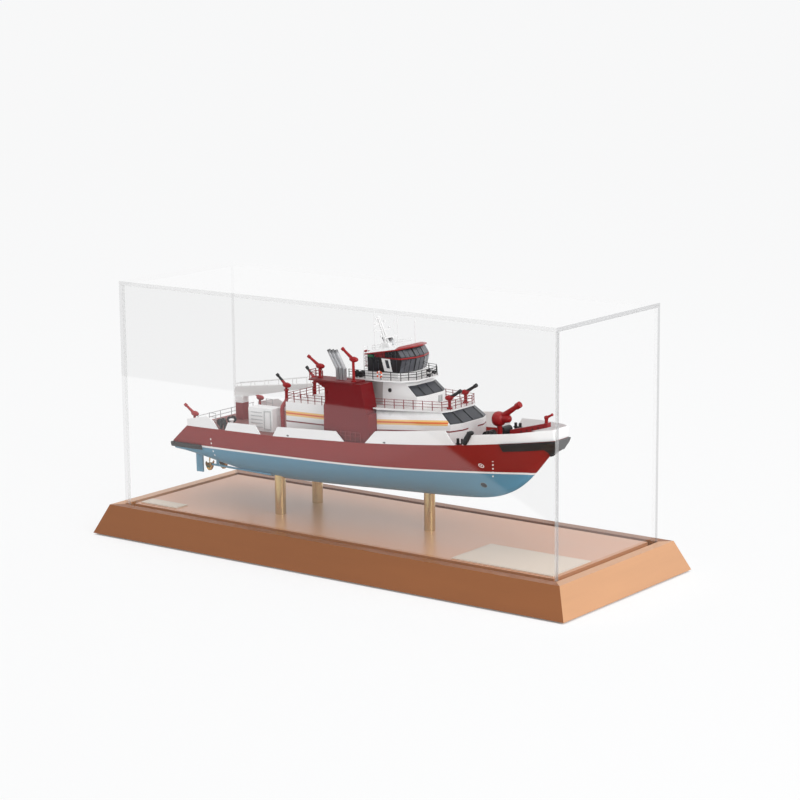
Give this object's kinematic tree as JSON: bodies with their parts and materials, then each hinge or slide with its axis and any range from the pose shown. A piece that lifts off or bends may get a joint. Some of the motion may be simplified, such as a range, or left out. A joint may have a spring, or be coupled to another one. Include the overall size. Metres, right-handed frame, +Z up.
{
  "type": "display case",
  "caption": "Table-top display case: sloped wooden plinth, lift-off clear cover and a fire-boat model standing on brass posts above the deck panel.",
  "frame": {"origin": "on the table, under the middle of the plinth", "axes": "+X along the long side towards the ship's bow, +Y to the back, +Z up"},
  "size_m": [0.6654, 0.26, 0.3028],
  "materials": {
    "stained_wood": "satin",
    "deck_veneer": "satin",
    "floor_board": "matte",
    "felt": "matte",
    "acrylic": "gloss",
    "label_plate": "satin",
    "brass": "polished",
    "steel": "satin",
    "hull_paint": "satin",
    "white_paint": "satin",
    "deck_paint": "matte",
    "red_paint": "satin",
    "glazing": "gloss",
    "black_rubber": "matte",
    "exhaust_metal": "satin",
    "grey_paint": "satin",
    "black_paint": "satin",
    "blue_paint": "satin",
    "rail_paint": "satin"
  },
  "bodies": {
    "plinth": {"base_rail_front": "stained_wood", "base_rail_back": "stained_wood", "base_rail_left": "stained_wood", "base_rail_right": "stained_wood", "base_floor": "floor_board", "foot_pads": "felt", "deck_panel": "deck_veneer", "post_aft_starboard": "brass", "post_aft_port": "brass", "post_forward": "brass", "post_screws": "steel", "post_nuts": "steel", "label_plate_title": "label_plate", "label_plate_note": "label_plate", "hull": "hull_paint", "main_deck": "deck_paint", "fore_deck": "deck_paint", "bulwarks": "white_paint", "bow_fender": "black_rubber", "stern_fender": "black_rubber", "aft_house": "white_paint", "main_house": "white_paint", "main_house_panes": "glazing", "boat_deck": "grey_paint", "upper_house": "white_paint", "upper_house_panes": "glazing", "bridge_deck": "grey_paint", "wheelhouse": "white_paint", "wheelhouse_panes": "glazing", "wheelhouse_roof": "red_paint", "casing_starboard": "red_paint", "casing_port": "red_paint", "casing_platforms": "grey_paint", "exhausts": "exhaust_metal", "boat_deck_railing": "rail_paint", "bridge_railing": "black_paint", "after_railings": "rail_paint", "ladder": "white_paint", "cannon_foredeck": "red_paint", "cannons_boat_deck": "red_paint", "cannons_platform": "red_paint", "cannons_stern": "red_paint", "riser_pipes": "red_paint", "cannons_riser": "red_paint", "mast": "white_paint", "whip_aerials": "white_paint", "crane_pedestal": "red_paint", "crane_boom": "grey_paint", "deck_locker": "white_paint", "bow_boom": "red_paint", "windlass": "black_paint", "bitts": "black_paint", "propellers": "brass", "shafts": "blue_paint", "rudders": "blue_paint"},
    "cover": {"cover_front": "acrylic", "cover_back": "acrylic", "cover_left": "acrylic", "cover_right": "acrylic", "cover_top": "acrylic"}
  },
  "joints": [
    {"name": "cover_lift", "type": "slide", "parent": "plinth", "child": "cover", "axis": [0, 0, 1], "range_m": [0, 0.3]}
  ]
}
